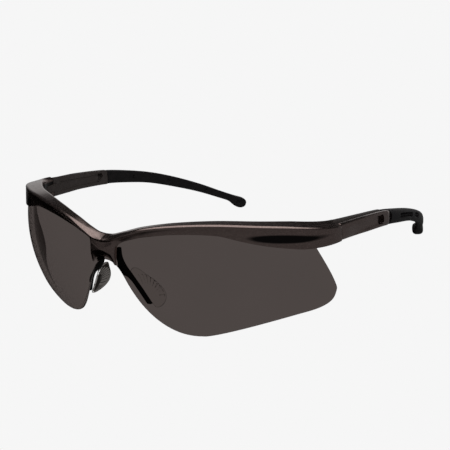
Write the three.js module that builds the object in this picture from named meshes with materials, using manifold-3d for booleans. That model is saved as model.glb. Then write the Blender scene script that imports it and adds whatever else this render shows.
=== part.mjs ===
// Half-rim safety glasses: a one-piece wrap lens hung under a brow bar, with a nose bracket and two folding
// temples that end in rubber sleeves. Millimetres, +X to the wearer's left, +Y to the back, +Z up.
// The origin lies on the table, under the middle of the glasses as they stand on the lens and temple tips.
import * as THREE from 'three';
import { mergeVertices } from 'three/addons/utils/BufferGeometryUtils.js';
import Module from 'manifold-3d';

const wasm = await Module();
wasm.setup();

// ---- Driving dimensions ---------------------------------------------------------------------------------

const GAP = 0.3; // clearance between neighbouring pieces

// The lens is a piece of a toric shell that turns about a vertical axis behind it.
const LENS = { radius: 88.4, fallRadius: 51.9, axisY: 9.7, crownZ: 26.5, thickness: 2.2 };

// In plan the brow bar follows the lens, then bends back to the hinge.
const BEND = { startX: 64, radius: 28.1, endHeading: 90 }; // mm, mm, degrees from +X
const SEAM_Y = -31.9; // where frame and temple meet

const HINGE = { x: 68.0, y: -35.3, z: 36.0, barrelRadius: 1.7, boreRadius: 1.0, screwRadius: 0.7,
  headRadius: 1.35 };
const TONGUE_HEIGHT = 3.0;

// Stations of the brow bar by half-span x of the lens: how far the ridge stands out of the lens front, the
// heights of ridge, lower lip, top edge and inner lower edge (heel), how far behind the lens front the top
// edge lies (crest), and how deep the bar reaches (depth).
const BROW = [
  { x: 0, out: 3.2, ridge: 36.9, low: 34.6, top: 38.6, heel: 34.2, crest: 0.6, depth: 3.3 },
  { x: 8, out: 3.1, ridge: 39.0, low: 36.1, top: 40.2, heel: 36.5, crest: 0.6, depth: 3.3 },
  { x: 16, out: 3.0, ridge: 41.9, low: 38.9, top: 42.5, heel: 39.3, crest: 0.8, depth: 3.4 },
  { x: 28, out: 2.4, ridge: 43.6, low: 40.6, top: 44.2, heel: 41.0, crest: 1.9, depth: 3.8 },
  { x: 42, out: 2.2, ridge: 44.2, low: 40.5, top: 44.7, heel: 41.0, crest: 3.0, depth: 4.2 },
  { x: 56, out: 2.3, ridge: 43.2, low: 36.6, top: 43.8, heel: 37.4, crest: 3.7, depth: 4.6 },
  { x: 67, out: 1.8, ridge: 41.5, low: 34.0, top: 42.6, heel: 34.2, crest: 4.1, depth: 5.2 },
];
// The bar's end at the hinge seam.
const BROW_END = { out: 0.2, ridge: 38.3, low: 33.1, top: 40.8, heel: 31.8, crest: 3.9, depth: 5.1 };

// The bridge is a shallow pyramid in front of the lens.
const BRIDGE = { peak: 2.8, peakZ: 33.3, halfWidth: 6.8, sideFall: 0.1, upFall: 0.2, downFall: 0.33 };

// Stations down a leg of the nose bracket: half-span, height and width.
const BRACKET_LEG = [
  [4.3, 33.0, 2.6], [4.3, 29.5, 3.0], [5.0, 26.6, 3.2], [6.6, 24.0, 3.0], [8.8, 21.2, 2.0], [11.0, 18.0, 1.9],
  [14.3, 12.1, 1.8],
];
const BRACKET_DEPTH = 1.7;
const PAD_FOOT = new THREE.Vector3(15.2, -71.3, 10.9); // lower end of the pad's plane
const PAD_UP = new THREE.Vector3(-7.2, -3.4, 11.3); // its direction up the leg

// Temple stations from the hinge seam to the tip: section centre, height of the inner and outer faces, width.
const TEMPLE = [
  { at: [69.3, -31.6, 36.1], inner: 8.9, outer: 5.6, width: 5.2 },
  { at: [69.5, -22.0, 35.1], inner: 7.9, outer: 6.0, width: 5.1 },
  { at: [69.7, -13.5, 34.2], inner: 7.2, outer: 6.1, width: 5.0 },
  { at: [69.2, 3.4, 31.8], inner: 6.3, outer: 5.9, width: 4.8 },
  { at: [68.6, 15.6, 29.2], inner: 5.8, outer: 5.6, width: 4.5 },
  { at: [66.6, 31.0, 25.2], inner: 5.1, outer: 5.0, width: 4.0 },
  { at: [63.5, 45.0, 20.2], inner: 4.7, outer: 4.6, width: 3.8 },
  { at: [58.2, 58.4, 14.4], inner: 3.9, outer: 3.9, width: 3.6 },
  { at: [53.2, 68.5, 9.1], inner: 3.4, outer: 3.4, width: 3.4 },
  { at: [50.5, 73.6, 6.3], inner: 3.5, outer: 3.5, width: 3.4 },
  { at: [48.4, 77.1, 3.7], inner: 5.1, outer: 5.1, width: 4.8 },
  { at: [46.4, 80.7, 2.1], inner: 5.1, outer: 5.1, width: 4.8 },
];
const SLEEVE_START = 3.4; // y where the rubber begins on the inner side
const COVER = { share: 0.56, rearY: 7.6 }; // the cover takes the rest of the section's width, outside
const RECESS = { frontY: -26, rearY: -3, low: 33.6, high: 35.6, floorX: 67.6 }; // in the arm's inner face
const HOLE = { frontY: -3, rearY: 0.5, low: 31.9, high: 33.7 }; // through arm and cover, ahead of the rubber
const TANG = { endY: 30, from: 0.12, to: 0.5, trim: 1.0 }; // the arm's tongue inside the rubber
const WIRE = { radius: 0.8, endY: 70, room: 0.32 };

const FINISH = {
  paint: { color: 0x1d1614, roughness: 0.25, metalness: 0.6 },
  satin: { color: 0x2b2622, roughness: 0.5, metalness: 0.2 },
  black: { color: 0x050505, roughness: 0.4, metalness: 0.0 },
  rubber: { color: 0x18151a, roughness: 0.75, metalness: 0.0 },
  smoke: { color: 0x3d3733, roughness: 0.05, metalness: 0.0, transparent: true, opacity: 0.9 },
  pad: { color: 0x35302d, roughness: 0.35, metalness: 0.0, transparent: true, opacity: 0.85 },
  steel: { color: 0x8c8c8c, roughness: 0.35, metalness: 1.0 },
};

// ---- Solids ---------------------------------------------------------------------------------------------

function signedVolume(positions, index) {
  const corner = (i) => new THREE.Vector3().fromArray(positions, 3 * index[i]);
  let sum = 0;
  for (let i = 0; i < index.length; i += 3) {
    sum += corner(i).dot(corner(i + 1).cross(corner(i + 2))) / 6;
  }
  return sum;
}

function bareGeometry(positions, index) {
  const geometry = new THREE.BufferGeometry();
  geometry.setAttribute('position', new THREE.Float32BufferAttribute(positions, 3));
  const outward = signedVolume(positions, index) > 0;
  const faces = [];
  for (let i = 0; i < index.length; i += 3) {
    const [a, b, c] = [index[i], index[i + 1], index[i + 2]];
    faces.push(...(outward ? [a, b, c] : [a, c, b]));
  }
  geometry.setIndex(faces);
  return geometry;
}

// A closed body through rings of equal point counts, with a flat fan at each end.
function loft(rings) {
  const count = rings[0].length;
  const positions = rings.flat().flatMap((p) => p.toArray());
  const index = [];
  for (let r = 0; r + 1 < rings.length; r += 1) {
    for (let i = 0; i < count; i += 1) {
      const a = r * count + i;
      const b = r * count + ((i + 1) % count);
      index.push(a, b, b + count, a, b + count, a + count);
    }
  }
  const last = (rings.length - 1) * count;
  for (let i = 1; i + 1 < count; i += 1) {
    index.push(0, i + 1, i);
    index.push(last, last + i, last + i + 1);
  }
  return bareGeometry(positions, index);
}

function welded(geometry) {
  const bare = geometry.clone();
  for (const name of Object.keys(bare.attributes)) {
    if (name !== 'position') bare.deleteAttribute(name);
  }
  return mergeVertices(bare, 1e-4);
}

function solid(geometry) {
  const bare = welded(geometry);
  const mesh = new wasm.Mesh({
    numProp: 3,
    vertProperties: new Float32Array(bare.attributes.position.array),
    triVerts: new Uint32Array(bare.index.array),
  });
  return new wasm.Manifold(mesh);
}

function geometryOf(manifold) {
  const mesh = manifold.getMesh();
  return bareGeometry(Array.from(mesh.vertProperties), Array.from(mesh.triVerts));
}

function mirrored(geometry) {
  const copy = welded(geometry);
  copy.scale(-1, 1, 1);
  return bareGeometry(Array.from(copy.attributes.position.array), Array.from(copy.index.array));
}

const degrees = THREE.MathUtils.degToRad;
// Evenly spaced values, both ends included.
function between(from, to, count) {
  return Array.from({ length: count + 1 }, (_, i) => from + ((to - from) * i) / count);
}
const point = (x, y, z) => new THREE.Vector3(x, y, z);

// A block between two corners.
function block(low, high) {
  const size = high.clone().sub(low);
  const box = new THREE.BoxGeometry(size.x, size.y, size.z);
  const middle = low.clone().add(high).multiplyScalar(0.5);
  return solid(box.translate(middle.x, middle.y, middle.z));
}

// An upright round bar.
function upright(x, y, low, high, radius, sides = 20) {
  const bar = new THREE.CylinderGeometry(radius, radius, high - low, sides);
  bar.rotateX(Math.PI / 2);
  return solid(bar.translate(x, y, (low + high) / 2));
}

// A value from a list of stations, on a smooth curve through them.
function smooth(knots, values, at) {
  const points = knots.map((knot, i) => point(knot, values[i], 0));
  let i = 0;
  while (i + 2 < knots.length && at > knots[i + 1]) i += 1;
  const before = points[Math.max(i - 1, 0)];
  const after = points[Math.min(i + 2, points.length - 1)];
  const [from, to] = [points[i], points[i + 1]];
  const span = to.x - from.x;
  const t = THREE.MathUtils.clamp((at - from.x) / span, 0, 1);
  const slopeFrom = ((to.y - before.y) / (to.x - before.x)) * span;
  const slopeTo = ((after.y - from.y) / (after.x - from.x)) * span;
  const [t2, t3] = [t * t, t * t * t];
  return (2 * t3 - 3 * t2 + 1) * from.y + (t3 - 2 * t2 + t) * slopeFrom
    + (3 * t2 - 2 * t3) * to.y + (t3 - t2) * slopeTo;
}

// ---- Lens -----------------------------------------------------------------------------------------------

// How far the lens falls back from its crown at a height.
const lensFall = (z) => (z - LENS.crownZ) ** 2 / (2 * LENS.fallRadius);
const lensFrontY = (x, z) => LENS.axisY - Math.sqrt((LENS.radius - lensFall(z)) ** 2 - x ** 2);

// Right-hand half of the lens outline seen from the front, then its mirror image.
function lensOutline(grow) {
  const half = new THREE.Path();
  half.moveTo(0, 28.6);
  half.bezierCurveTo(4.2, 28.6, 6.3, 25.6, 7.9, 22.5); // arch over the nose
  half.bezierCurveTo(12.5, 13.4, 19, 0, 31, 0); // side of the nose
  half.lineTo(33, 0); // flat that the glasses stand on
  half.bezierCurveTo(37, 0.2, 55, 6.6, 64.2, 8.8); // lower edge
  half.bezierCurveTo(69.9, 10.0, 73.5, 13.0, 73.3, 18.5); // lower outer corner
  half.bezierCurveTo(73.2, 21.5, 70.3, 28, 68.8 + grow, 34); // outer edge
  half.lineTo(67.6 + grow, 36.9 + grow);
  half.bezierCurveTo(60, 40.5 + grow, 50, 42.9 + grow, 38, 42.9 + grow); // top edge, inside the bar
  half.bezierCurveTo(22, 42.2 + grow, 12, 38.7 + grow, 0, 34.8 + grow);
  const outline = half.getPoints(7);
  const left = outline.slice(1, -1).reverse().map((p) => new THREE.Vector2(-p.x, p.y));
  return new THREE.Shape([...outline, ...left]);
}

function toricShell(inner, outer) {
  const side = (reach) => between(-1, 47, 12).map((z) => new THREE.Vector2(reach - lensFall(z), z));
  const profile = [...side(outer), ...side(inner).reverse()];
  profile.push(profile[0].clone());
  const shell = new THREE.LatheGeometry(profile, 132);
  shell.rotateX(Math.PI / 2);
  return solid(shell.translate(0, LENS.axisY, 0));
}

// The outline as a prism that spreads from the shell's axis, so that the lens edge stands square to the lens.
function radialPrism(outline) {
  const { shape } = outline.extractPoints(1);
  const faces = THREE.ShapeUtils.triangulateShape(shape, []);
  const ring = (reach) => shape.map(({ x, y: z }) => {
    const turn = Math.asin(x / (LENS.radius - lensFall(z)));
    return point(reach * Math.sin(turn), LENS.axisY - reach * Math.cos(turn), z);
  });
  const [inside, outside] = [ring(40), ring(200)];
  const count = shape.length;
  const index = [];
  for (const [a, b, c] of faces) index.push(a, c, b, a + count, b + count, c + count);
  for (let i = 0; i < count; i += 1) {
    const next = (i + 1) % count;
    index.push(i, next, next + count, i, next + count, i + count);
  }
  const positions = [...inside, ...outside].flatMap((p) => p.toArray());
  return solid(bareGeometry(positions, index));
}

function lensSolid(grow) {
  const shell = toricShell(LENS.radius - LENS.thickness - grow, LENS.radius + grow);
  return shell.intersect(radialPrism(lensOutline(grow)));
}

// ---- Brow bar and bridge --------------------------------------------------------------------------------

// Point of the plan curve at a length along it, with the outward direction there.
function browPath(length) {
  const headingAtBend = Math.asin(BEND.startX / LENS.radius);
  const lensLength = LENS.radius * headingAtBend;
  if (length <= lensLength) {
    const turn = length / LENS.radius;
    const out = point(Math.sin(turn), -Math.cos(turn), 0);
    return { at: out.clone().multiplyScalar(LENS.radius).add(point(0, LENS.axisY, 0)), out };
  }
  const start = browPath(lensLength);
  const centre = start.at.clone().addScaledVector(start.out, -BEND.radius);
  const turn = headingAtBend + (length - lensLength) / BEND.radius;
  const out = point(Math.sin(turn), -Math.cos(turn), 0);
  return { at: centre.addScaledVector(out, BEND.radius), out };
}

function browLength() {
  const headingAtBend = Math.asin(BEND.startX / LENS.radius);
  return LENS.radius * headingAtBend + BEND.radius * (degrees(BEND.endHeading) - headingAtBend);
}

function browSection(length) {
  const knots = BROW.map((s) => LENS.radius * Math.asin(s.x / LENS.radius));
  const rows = [...BROW, BROW_END];
  knots.push(browLength());
  const value = (name) => smooth(knots, rows.map((row) => row[name]), length);
  const { at, out } = browPath(length);
  const upTo = smooth([0, knots[BROW.length - 1], browLength()], [1, 1, 0], length);
  const place = (reach, z) => at.clone().addScaledVector(out, reach - upTo * lensFall(z)).setZ(z);
  const names = ['out', 'ridge', 'low', 'top', 'heel', 'crest', 'depth'];
  const [reach, ridge, low, top, heel, crest, depth] = names.map(value);
  const slope = 0.75; // fall of the top face behind its crest
  return [
    place(Math.min(0.8, reach + 0.6) - 0.2 * (1 - upTo), low),
    place(reach * 0.85, ridge - 0.9),
    place(reach, ridge),
    place(reach - 0.7, ridge + 0.4),
    place(-crest, top),
    place(-depth, top - 0.3 - slope * (depth - crest)),
    place(-depth, heel),
    place(-depth + 0.8, Math.min(low, heel)),
  ];
}

function browHalf() {
  const steps = 30;
  const total = browLength();
  const rings = Array.from({ length: steps + 1 }, (_, i) => browSection((total * i) / steps));
  return loft(rings);
}

// Pyramid in front of the lens, cut to the outline of the bridge.
function bridge() {
  const columns = 17;
  const rows = 17;
  const [low, high] = [21.5, 40];
  const width = BRIDGE.halfWidth + 3;
  const stands = (x, z) => {
    const fall = Math.max(
      BRIDGE.sideFall * Math.abs(x),
      BRIDGE.downFall * (BRIDGE.peakZ - z),
      BRIDGE.upFall * (z - BRIDGE.peakZ),
    );
    return BRIDGE.peak - Math.min(fall, BRIDGE.peak - 0.9);
  };
  const rings = Array.from({ length: rows + 1 }, (_, r) => {
    const z = low + ((high - low) * r) / rows;
    const xs = Array.from({ length: columns + 1 }, (_, c) => -width + (2 * width * c) / columns);
    const front = xs.map((x) => point(x, lensFrontY(x, z) - stands(x, z), z));
    const back = xs.reverse().map((x) => point(x, lensFrontY(x, z) + 0.5, z));
    return [...front, ...back];
  });
  const outline = new THREE.Shape();
  const { halfWidth } = BRIDGE;
  outline.moveTo(0, 29.9);
  outline.bezierCurveTo(2.4, 29.9, 4.4, 28.9, 5.7, 26.8);
  outline.quadraticCurveTo(halfWidth, 25.8, halfWidth, 28);
  outline.bezierCurveTo(halfWidth, 31, 7.2, 34, 10, 37);
  outline.lineTo(10, 39);
  outline.quadraticCurveTo(3, 36.6, 0, 36.6);
  outline.quadraticCurveTo(-3, 36.6, -10, 39);
  outline.lineTo(-10, 37);
  outline.bezierCurveTo(-7.2, 34, -halfWidth, 31, -halfWidth, 28);
  outline.quadraticCurveTo(-halfWidth, 25.8, -5.7, 26.8);
  outline.bezierCurveTo(-4.4, 28.9, -2.4, 29.9, 0, 29.9);
  const prism = new THREE.ExtrudeGeometry(outline, { depth: 90, bevelEnabled: false, curveSegments: 6 });
  prism.rotateX(Math.PI / 2);
  return solid(loft(rings)).intersect(solid(prism));
}

// Room in the frame end for the temple's tongue, and the bore for the screw.
function hingePocket(side) {
  const { x, y, z, barrelRadius, boreRadius, headRadius } = HINGE;
  const room = barrelRadius + 0.35;
  const half = TONGUE_HEIGHT / 2 + GAP;
  const [inside, below, back] = [60, 30, SEAM_Y + 1]; // clear of the bar on its inner, lower and rear sides
  const slot = (outer, front) => block(
    point(Math.min(side * outer, side * inside), front, z - half),
    point(Math.max(side * outer, side * inside), back, z + half),
  );
  return upright(side * x, y, z - half, z + half, room, 24)
    .add(slot(x + room, y))
    .add(slot(x, y - room))
    .add(upright(side * x, y, below, z + half + 1.4, boreRadius))
    .add(upright(side * x, y, below, z - half - 0.9, headRadius + 0.35));
}

function frameFront() {
  const half = browHalf();
  let frame = solid(half).add(solid(mirrored(half))).add(bridge());
  frame = frame.subtract(lensSolid(GAP));
  for (const side of [1, -1]) frame = frame.subtract(hingePocket(side));
  return geometryOf(frame);
}

// ---- Nose bracket and pads ------------------------------------------------------------------------------

// A round-cornered bar through stations of centre, width and depth, its sections level with the table.
function bar(stations) {
  const sides = 10;
  const rings = stations.map(({ at, width, depth }) => Array.from({ length: sides }, (_, i) => {
    const turn = (2 * Math.PI * i) / sides;
    return point(at[0] + (width / 2) * Math.cos(turn), at[1] + (depth / 2) * Math.sin(turn), at[2]);
  }));
  return loft(rings);
}

const behindLens = (x, z, by) => lensFrontY(x, z) + LENS.thickness + GAP + by;

function noseBracket() {
  const leg = bar(BRACKET_LEG.map(([x, z, width]) => (
    { at: [x, behindLens(x, z, 1.0), z], width, depth: BRACKET_DEPTH }
  )));
  const strap = new THREE.Shape();
  const reach = 4.6;
  strap.moveTo(-reach, 29.8);
  strap.quadraticCurveTo(0, 30.6, reach, 29.8);
  strap.lineTo(reach, 32.4);
  strap.lineTo(-reach, 32.4);
  const strapBar = new THREE.ExtrudeGeometry(
    strap, { depth: BRACKET_DEPTH, bevelEnabled: false, curveSegments: 8 },
  );
  strapBar.rotateX(Math.PI / 2);
  strapBar.translate(0, behindLens(reach, 31, 0.2) + BRACKET_DEPTH, 0);
  return geometryOf(solid(leg).add(solid(mirrored(leg))).add(solid(strapBar)));
}

// A leaf that stands back from the leg, in the leg's own plane: u to the back and v up the leg.
function nosePad() {
  const leaf = new THREE.Shape();
  leaf.moveTo(1.9, -0.6);
  leaf.bezierCurveTo(3.2, -2.2, 9.6, -2.4, 9.6, 1.8);
  leaf.bezierCurveTo(9.6, 6.0, 7.2, 9.5, 6.0, 13.2);
  leaf.bezierCurveTo(5.4, 15.2, 3.4, 15.4, 2.3, 14.6);
  leaf.quadraticCurveTo(1.9, 14.2, 1.9, 13.4);
  const edge = 0.5;
  const core = 0.8;
  const pad = new THREE.ExtrudeGeometry(leaf, {
    depth: core, bevelThickness: edge, bevelSize: edge, bevelSegments: 2, curveSegments: 7,
  });
  pad.translate(0, 0, -core / 2);
  const up = PAD_UP.clone().normalize();
  const back = point(0, 1, 0).addScaledVector(up, -up.y).normalize();
  const place = new THREE.Matrix4().makeBasis(back, up, back.clone().cross(up));
  return pad.applyMatrix4(place.setPosition(PAD_FOOT));
}

// ---- Temples --------------------------------------------------------------------------------------------

function templeAt(y) {
  const ys = TEMPLE.map((s) => s.at[1]);
  const value = (pick) => smooth(ys, TEMPLE.map(pick), y);
  return {
    at: point(value((s) => s.at[0]), y, value((s) => s.at[2])),
    inner: value((s) => s.inner),
    outer: value((s) => s.outer),
    width: value((s) => s.width),
  };
}

// Ring across the temple at y: a rounded rectangle, or a part of its width given as shares from 0 (inner
// face) to 1 (outer face). The ring leans back with the temple's own slope.
function templeRing(y, from = 0, to = 1, trim = 0, sides = 16) {
  const step = 0.5;
  const { at, inner, outer, width } = templeAt(y);
  const ahead = templeAt(Math.min(y + step, TEMPLE.at(-1).at[1])).at;
  const behind = templeAt(Math.max(y - step, TEMPLE[0].at[1])).at;
  const along = ahead.sub(behind).normalize();
  const lean = THREE.MathUtils.smoothstep(y, 10, 50);
  const forward = point(0, 1, 0).lerp(along, lean).normalize();
  const across = point(0, 0, 1).cross(forward).multiplyScalar(-1).normalize();
  const up = across.clone().cross(forward).normalize();
  if (up.z < 0) up.multiplyScalar(-1);
  const middle = ((from + to) / 2 - 0.5) * width;
  const halfWidth = ((to - from) * width) / 2 - trim;
  const squareness = 0.62;
  return Array.from({ length: sides }, (_, i) => {
    const turn = (2 * Math.PI * (i + 0.5)) / sides;
    const [c, s] = [Math.cos(turn), Math.sin(turn)];
    const u = middle + halfWidth * Math.sign(c) * Math.abs(c) ** squareness;
    const share = THREE.MathUtils.clamp(u / width + 0.5, 0, 1);
    const halfHeight = THREE.MathUtils.lerp(inner, outer, share) / 2 - trim;
    const v = halfHeight * Math.sign(s) * Math.abs(s) ** squareness;
    return at.clone().addScaledVector(across, u).addScaledVector(up, v);
  });
}

function templeLoft(ys, ...ring) {
  return solid(loft(ys.map((y) => templeRing(y, ...ring))));
}

// A side view outline of y and z as a prism across the left temple.
function acrossTemple(shape, fromX, depth) {
  const prism = new THREE.ExtrudeGeometry(shape, { depth, bevelEnabled: false, curveSegments: 7 });
  prism.applyMatrix4(new THREE.Matrix4().makeBasis(point(0, 1, 0), point(0, 0, 1), point(1, 0, 0)));
  return solid(prism.translate(fromX, 0, 0));
}

// The cover's rounded rear end, seen from the side.
function coverOutline(grow) {
  const shape = new THREE.Shape();
  const [front, turn, rear] = [SEAM_Y - 2, SLEEVE_START - 1.5, COVER.rearY + grow];
  const [below, above] = [25, 43]; // clear of the temple
  shape.moveTo(front, below);
  shape.lineTo(turn, below);
  shape.lineTo(turn + 0.5, 28.4 - grow);
  shape.bezierCurveTo(rear - 1, 28.4 - grow, rear, 29.2, rear, 31.2);
  shape.bezierCurveTo(rear, 33.6, rear - 1, 34.4 + grow, turn + 0.5, 35.2 + grow);
  shape.lineTo(turn, above);
  shape.lineTo(front, above);
  return acrossTemple(shape, 66, 10);
}

function templeCover() {
  const blank = templeLoft(between(SEAM_Y + GAP, COVER.rearY, 10), COVER.share, 1);
  const scoop = new THREE.Shape();
  const scoopFloorX = 70.9;
  scoop.moveTo(-29, 33.4);
  scoop.quadraticCurveTo(-14, 34.9, -1.5, 34.0);
  scoop.quadraticCurveTo(1.4, 33.6, 1.2, 32.0);
  scoop.quadraticCurveTo(1.0, 30.6, -1.2, 30.8);
  scoop.lineTo(-29, 33.4);
  const hole = block(point(68, HOLE.frontY, HOLE.low), point(74, HOLE.rearY, HOLE.high));
  const cover = blank.intersect(coverOutline(0));
  return geometryOf(cover.subtract(acrossTemple(scoop, scoopFloorX, 4)).subtract(hole));
}

function templeArm() {
  const { x, y, z, barrelRadius, boreRadius } = HINGE;
  const [low, high] = [z - TONGUE_HEIGHT / 2, z + TONGUE_HEIGHT / 2];
  const body = templeLoft(between(SEAM_Y + GAP, SLEEVE_START - GAP, 8), 0, COVER.share - 0.06);
  const tang = templeLoft(between(SLEEVE_START - 2, TANG.endY, 8), TANG.from, TANG.to, TANG.trim, 8);
  const tongue = block(point(x - barrelRadius, y, low), point(x + 1.2, SEAM_Y + 1.5, high));
  const barrel = upright(x, y, low, high, barrelRadius, 24);
  const recess = block(point(60, RECESS.frontY, RECESS.low), point(RECESS.floorX, RECESS.rearY, RECESS.high));
  const hole = block(point(60, HOLE.frontY, HOLE.low), point(72, HOLE.rearY, HOLE.high));
  const bore = upright(x, y, low - 1, high + 1, boreRadius);
  const arm = body.add(tang).add(tongue).add(barrel).subtract(bore);
  return geometryOf(arm.subtract(recess).subtract(hole));
}

function coreWire() {
  const sides = 8;
  const rings = between(TANG.endY + GAP, WIRE.endY, 14).map((y) => {
    const ring = templeRing(y, 0, 1, 0, sides);
    const middle = ring.reduce((sum, p) => sum.add(p), point(0, 0, 0)).multiplyScalar(1 / sides);
    return ring.map((p) => middle.clone().add(p.clone().sub(middle).setLength(WIRE.radius)));
  });
  return loft(rings);
}

function templeSleeve() {
  const tip = TEMPLE.at(-1).at[1];
  const outside = templeLoft(between(SLEEVE_START, tip, 30), 0, 1, 0, 16);
  const room = 0.07; // share of the width left free on each side of the tang
  const tangBore = templeLoft(
    between(SLEEVE_START - 1, TANG.endY + GAP, 8), TANG.from - room, TANG.to + room, TANG.trim - GAP, 8,
  );
  const wireBore = templeLoft(
    between(TANG.endY - 1, WIRE.endY + 1, 14), 0.5 - WIRE.room, 0.5 + WIRE.room, 0.1, 8,
  );
  const coverSpace = templeLoft(between(SLEEVE_START - 2, COVER.rearY + 2, 5), COVER.share - 0.06, 1.1, -0.5)
    .intersect(coverOutline(GAP));
  const table = block(point(30, 60, -5), point(60, 90, 0)); // the bulb is flat where it rests
  return geometryOf(outside.subtract(tangBore).subtract(wireBore).subtract(coverSpace).subtract(table));
}

// Countersunk screw that comes up through the frame's lower ear and the temple's barrel.
function hingeScrew() {
  const { x, y, z, screwRadius, headRadius } = HINGE;
  const half = TONGUE_HEIGHT / 2 + GAP;
  const [bottom, top] = [z - half - 2.1, z + half + 1.1];
  const profile = [[0, bottom], [headRadius, bottom], [headRadius, bottom + 0.7], [screwRadius, bottom + 1.1],
    [screwRadius, top], [0, top]].map(([r, h]) => new THREE.Vector2(r, h));
  const screw = new THREE.LatheGeometry(profile, 16);
  screw.rotateX(Math.PI / 2);
  return geometryOf(solid(screw.translate(x, y, 0)));
}

// ---- Assembly -------------------------------------------------------------------------------------------

function piece(name, geometry, finish) {
  const mesh = new THREE.Mesh(geometry, new THREE.MeshStandardMaterial(FINISH[finish]));
  mesh.name = name;
  return mesh;
}

// A piece for each side of the face: the left one as drawn, the right one its mirror image.
function pair(name, geometry, finish) {
  return [piece(`left_${name}`, geometry, finish), piece(`right_${name}`, mirrored(geometry), finish)];
}

const glasses = new THREE.Group();
glasses.add(
  piece('brow_frame', frameFront(), 'paint'),
  piece('lens', geometryOf(lensSolid(0)), 'smoke'),
  piece('nose_bracket', noseBracket(), 'black'),
  ...pair('nose_pad', nosePad(), 'pad'),
  ...pair('hinge_screw', hingeScrew(), 'steel'),
  ...pair('temple_arm', templeArm(), 'satin'),
  ...pair('temple_cover', templeCover(), 'paint'),
  ...pair('temple_sleeve', templeSleeve(), 'rubber'),
  ...pair('core_wire', coreWire(), 'steel'),
);

export default glasses;
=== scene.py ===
import math

import bmesh
import bpy
from mathutils import Matrix, Vector


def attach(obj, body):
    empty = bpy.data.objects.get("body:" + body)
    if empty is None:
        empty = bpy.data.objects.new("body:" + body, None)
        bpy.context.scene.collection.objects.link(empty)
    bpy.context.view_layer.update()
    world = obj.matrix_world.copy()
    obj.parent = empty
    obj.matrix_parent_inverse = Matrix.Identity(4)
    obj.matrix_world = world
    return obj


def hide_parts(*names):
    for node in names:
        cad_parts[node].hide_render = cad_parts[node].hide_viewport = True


# Half-rim safety glasses: the visible shells, lens, pads and rubber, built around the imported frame.
# Shapes are worked out in millimetres and stored in metres. +X is the wearer's left, +Y the back, +Z up.

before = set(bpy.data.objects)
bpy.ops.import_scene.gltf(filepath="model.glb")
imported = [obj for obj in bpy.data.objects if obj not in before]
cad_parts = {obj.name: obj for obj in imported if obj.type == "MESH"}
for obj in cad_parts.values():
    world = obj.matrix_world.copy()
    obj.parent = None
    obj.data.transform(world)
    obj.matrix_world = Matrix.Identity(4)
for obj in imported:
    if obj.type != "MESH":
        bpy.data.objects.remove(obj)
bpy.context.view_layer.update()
MM = 0.001

# ---- Driving dimensions --------------------------------------------------------------------------

# The lens curve, hinge, temples and pad planes are the CAD model's. The bar's front, lip and bridge, the
# lens corner and the bracket's legs differ from it by 1 mm or so, to follow the photograph more closely.

# The lens: the curve of its front face in plan and in profile, the axis of the one and the height at which
# the other stands furthest forward, its thickness, and the bevel of its lower edge.
LENS_RADIUS = 88.4
LENS_FALL_RADIUS = 51.9
LENS_AXIS_Y = 9.7
LENS_CROWN_Z = 26.5
LENS_THICKNESS = 2.2
LENS_BEVEL = 0.75

# The bar follows the lens this far to the side and then bends back to the seam with the temple.
BEND_START_X = 64.0
BEND_RADIUS = 28.1
SEAM_Y = -31.9

# Clearance between neighbouring pieces.
GAP = 0.3

# The left hinge: where its pin stands, and the round tongue that turns on it.
HINGE_X, HINGE_Y, HINGE_Z = 68.0, -35.3, 36.0
BARREL_RADIUS = 1.7
TONGUE_HEIGHT = 3.0

# Brow bar by half-span: how far the ridge stands out, heights of ridge, top and heel, set-back of the top
# edge (crest) and depth. Each list holds one value more than BROW_X, for the bar's end at the seam.
BROW_X = [0, 3.5, 8, 16, 28, 42, 56, 67]
BROW = {
    "out": [3.0, 3.0, 3.05, 3.0, 2.4, 2.2, 2.3, 1.8, 0.2],
    "ridge": [36.8, 37.2, 39.0, 41.9, 43.6, 44.1, 43.1, 41.4, 38.3],
    "top": [38.6, 38.9, 40.2, 42.5, 44.2, 44.7, 43.8, 42.6, 40.8],
    "heel": [34.2, 34.9, 36.5, 39.3, 41.0, 41.0, 37.4, 34.2, 31.8],
    "crest": [0.6, 0.6, 0.6, 0.8, 1.9, 3.0, 3.7, 4.1, 3.9],
    "depth": [3.3, 3.3, 3.3, 3.4, 3.8, 4.2, 4.6, 5.2, 5.1],
}
# Lower front lip by half-span, in the same way: its height, from the arch over the nose up the side of the
# bridge and along the bar, and how far it stands out.
LIP_X = [0, 2.0, 3.6, 4.6, 5.1, 5.35, 5.5, 5.6, 5.9, 6.6, 8.2, 10, 12, 16, 28, 42, 50, 56, 62, 67]
LIP_Z = [
    30.5, 30.2, 29.3, 28.2, 27.6, 28.0, 29.8, 32.8, 34.6, 35.5, 36.5, 37.2, 37.8, 38.9, 40.6, 40.5, 38.3,
    36.5, 35.0, 33.9, 33.1,
]
LIP_OUT_X = [0, 5, 6.4, 7.3, 9, 12, 16, 67]
LIP_OUT = [0.8, 0.8, 0.7, 0.6, 0.7, 0.8, 0.8, 0.8, 0.2]

# The bridge is a shallow pyramid: its peak, how it falls to the sides, and the slopes of its creases.
BRIDGE_PEAK = 2.7
BRIDGE_PEAK_Z = 33.3
BRIDGE_SIDE_FALL = 0.06
BRIDGE_CREASE_UP = 0.5
BRIDGE_CREASE_DOWN = 0.3

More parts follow.
